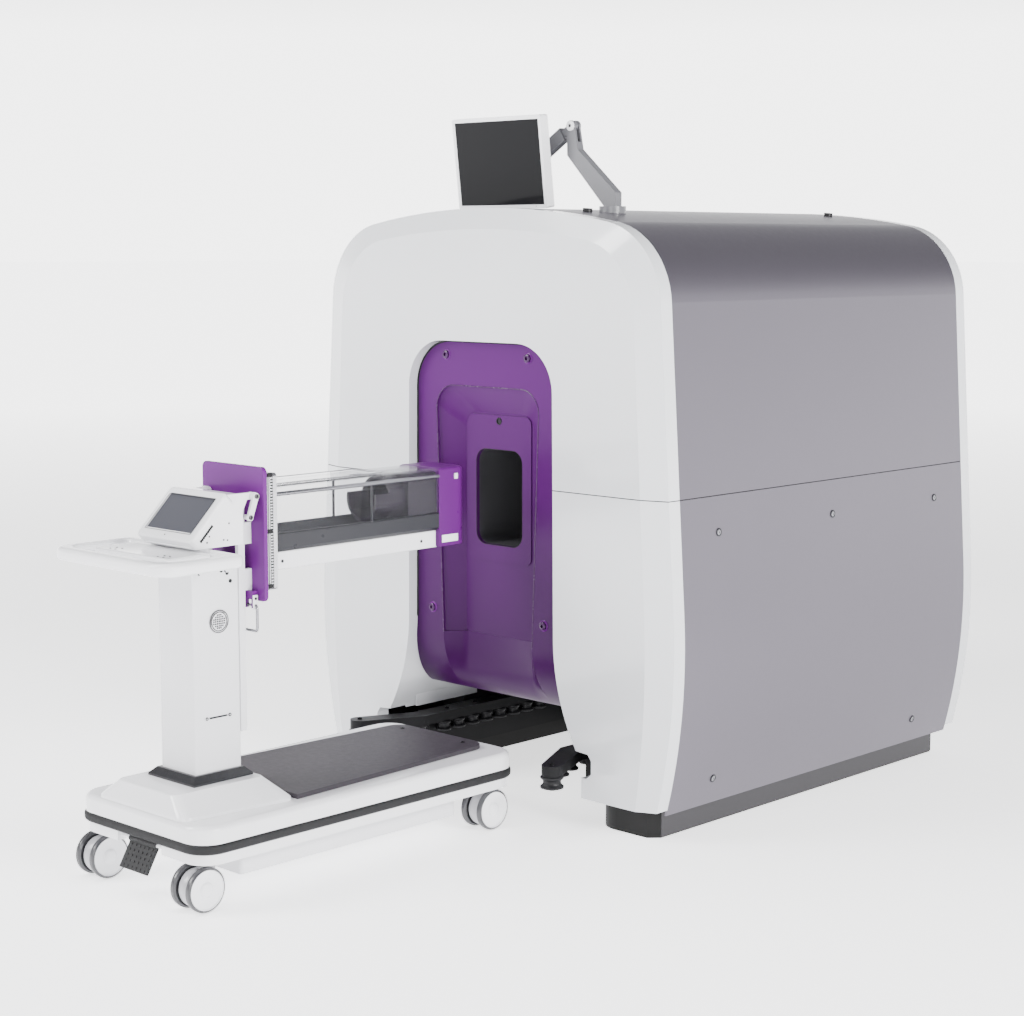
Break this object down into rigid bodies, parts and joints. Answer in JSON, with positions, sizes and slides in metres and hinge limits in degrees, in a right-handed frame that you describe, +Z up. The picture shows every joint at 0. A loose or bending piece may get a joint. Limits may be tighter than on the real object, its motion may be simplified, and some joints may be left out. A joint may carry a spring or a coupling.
{
  "type": "mri scanner",
  "caption": "Small-bore MRI magnet unit with arched case, recessed bore, docking rails, monitor arm, and a wheeled patient trolley with a cantilevered clear capsule",
  "frame": {"origin": "on the floor under the middle of the plinth's rear cross piece", "axes": "+Z up; -Y is the front, where the trolley stands; +X is to the right of someone facing the bore"},
  "size_m": [1.5558, 3.1, 2.1804],
  "materials": {
    "white_cover": "glossy white moulded cover",
    "grey_shell": "satin lilac-grey paint",
    "purple_panel": "glossy purple plastic",
    "plinth_paint": "dark satin paint",
    "strip": "brushed grey strip",
    "magnet_steel": "dark steel, hidden",
    "magnet_block": "magnet material, hidden",
    "coil_resin": "cast resin, hidden",
    "liner": "smooth bore liner",
    "gasket": "dark rubber",
    "lens": "dark lens",
    "screw": "brushed screw heads",
    "cap_black": "black caps",
    "rail_dark": "dark painted rail",
    "roller": "dark nylon roller",
    "arm_white": "white painted arm",
    "monitor_shell": "light plastic",
    "screen_glass": "dark glass screen",
    "white_part": "glossy white plastic",
    "bumper": "dark rubber band",
    "keel_paint": "white painted steel",
    "mat": "grey ribbed rubber",
    "collar_dark": "dark collar",
    "column_paint": "white painted column",
    "rail_plate": "white painted plates",
    "fittings": "dark fittings",
    "console_glass": "grey screen",
    "seal_metal": "bright shield flange",
    "wire": "bright wire loop",
    "tray_grey": "grey tray",
    "mattress": "soft covered mattress",
    "clear": "clear plastic",
    "clear_lid": "clear plastic lid",
    "coil_dark": "dark glossy housing",
    "button": "white button",
    "pedal": "dark ribbed pedal",
    "caster": "grey caster fork",
    "tyre": "dark wheel with grey rim"
  },
  "bodies": {
    "magnet": {"base_frame": "plinth_paint", "plinth_strips": "strip", "magnet_yoke": "magnet_steel", "magnet_poles": "magnet_block", "gradient_coils": "coil_resin", "bore_liner": "liner", "front_cover_upper": "white_cover", "front_cover_lower": "white_cover", "rear_cover": "white_cover", "top_shell": "grey_shell", "side_panel_left": "grey_shell", "side_panel_right": "grey_shell", "seam_gasket": "gasket", "recess_surround": "purple_panel", "recess_niche": "purple_panel", "niche_lens": "lens", "case_screws": "screw", "roof_caps": "cap_black", "docking_rail_left": "rail_dark", "docking_rail_right": "rail_dark", "docking_rollers": "roller", "arm_base": "arm_white"},
    "lower_arm": {"arm_lower": "arm_white"},
    "upper_arm": {"arm_upper": "arm_white"},
    "wrist": {"arm_wrist": "arm_white"},
    "monitor": {"monitor_body": "monitor_shell", "monitor_screen": "screen_glass"},
    "trolley": {"deck": "white_part", "bumper_band": "bumper", "keel_box": "keel_paint", "foot_cover": "white_part", "step_mat": "mat", "column_collar": "collar_dark", "column": "column_paint", "column_rail": "rail_plate", "column_fittings": "fittings", "handle": "white_part", "shield_panel": "purple_panel", "seal_flange": "seal_metal", "cradle_beam": "keel_paint", "cradle_tray": "tray_grey", "mattress": "mattress", "capsule": "clear", "head_coil": "coil_dark", "end_cap": "purple_panel"},
    "console_unit": {"console": "white_part", "console_screen": "console_glass"},
    "loop": {"latch_loop": "wire"},
    "lid": {"capsule_lid": "clear_lid"},
    "button": {"end_cap_button": "button"},
    "pedal": {"foot_pedal": "pedal"},
    "caster_body_near_right": {"caster_near_right": "caster"},
    "wheel_body_near_right": {"wheels_near_right": "tyre"},
    "caster_body_near_left": {"caster_near_left": "caster"},
    "wheel_body_near_left": {"wheels_near_left": "tyre"},
    "caster_body_far_right": {"caster_far_right": "caster"},
    "wheel_body_far_right": {"wheels_far_right": "tyre"},
    "caster_body_far_left": {"caster_far_left": "caster"},
    "wheel_body_far_left": {"wheels_far_left": "tyre"}
  },
  "joints": [
    {"name": "trolley_dock", "type": "slide", "parent": "magnet", "child": "trolley", "axis": [0, 1, 0], "range_m": [0, 1.01]},
    {"name": "arm_swivel", "type": "hinge", "parent": "magnet", "child": "lower_arm", "pos_m": [0.267, -0.963, 1.9], "axis": [0, 0, 1], "range_deg": [-30, 45]},
    {"name": "arm_elbow", "type": "hinge", "parent": "lower_arm", "child": "upper_arm", "pos_m": [0.102, -0.963, 2.144], "axis": [0, 1, 0], "range_deg": [0, 30]},
    {"name": "monitor_pan", "type": "hinge", "parent": "upper_arm", "child": "wrist", "pos_m": [-0.142, -0.963, 1.99], "axis": [0, 0, 1], "range_deg": [-40, 0]},
    {"name": "monitor_tilt", "type": "hinge", "parent": "wrist", "child": "monitor", "pos_m": [-0.142, -0.997, 2.038], "axis": [1, 0, 0], "range_deg": [-15, 0]},
    {"name": "console_tilt", "type": "hinge", "parent": "trolley", "child": "console_unit", "pos_m": [0, -2.28, 1.083], "axis": [1, 0, 0], "range_deg": [-12, 0]},
    {"name": "loop_swing", "type": "hinge", "parent": "trolley", "child": "loop", "pos_m": [0.086, -2.279, 0.776], "axis": [-1, 0, 0], "range_deg": [-80, 0]},
    {"name": "lid_open", "type": "hinge", "parent": "trolley", "child": "lid", "pos_m": [-0.07, -1.88, 1.1003], "axis": [0, 1, 0], "range_deg": [-95, 0]},
    {"name": "button_press", "type": "slide", "parent": "trolley", "child": "button", "axis": [-1, 0, 0], "range_m": [0, 0.002], "stiffness_N_per_m": 300, "springref_m": -0.002},
    {"name": "pedal_tip", "type": "hinge", "parent": "trolley", "child": "pedal", "pos_m": [0, -2.594, 0.146], "axis": [1, 0, 0], "range_deg": [-20, 0]},
    {"name": "swivel_near_right", "type": "hinge", "parent": "trolley", "child": "caster_body_near_right", "pos_m": [0.22, -2.546, 0.11], "axis": [0, 0, 1], "continuous": true},
    {"name": "spin_near_right", "type": "hinge", "parent": "caster_body_near_right", "child": "wheel_body_near_right", "pos_m": [0.22, -2.581, 0.0625], "axis": [1, 0, 0], "continuous": true},
    {"name": "swivel_near_left", "type": "hinge", "parent": "trolley", "child": "caster_body_near_left", "pos_m": [-0.22, -2.546, 0.11], "axis": [0, 0, 1], "continuous": true},
    {"name": "spin_near_left", "type": "hinge", "parent": "caster_body_near_left", "child": "wheel_body_near_left", "pos_m": [-0.22, -2.581, 0.0625], "axis": [1, 0, 0], "continuous": true},
    {"name": "swivel_far_right", "type": "hinge", "parent": "trolley", "child": "caster_body_far_right", "pos_m": [0.22, -1.453, 0.11], "axis": [0, 0, 1], "continuous": true},
    {"name": "spin_far_right", "type": "hinge", "parent": "caster_body_far_right", "child": "wheel_body_far_right", "pos_m": [0.22, -1.488, 0.0625], "axis": [1, 0, 0], "continuous": true},
    {"name": "swivel_far_left", "type": "hinge", "parent": "trolley", "child": "caster_body_far_left", "pos_m": [-0.22, -1.453, 0.11], "axis": [0, 0, 1], "continuous": true},
    {"name": "spin_far_left", "type": "hinge", "parent": "caster_body_far_left", "child": "wheel_body_far_left", "pos_m": [-0.22, -1.488, 0.0625], "axis": [1, 0, 0], "continuous": true}
  ]
}
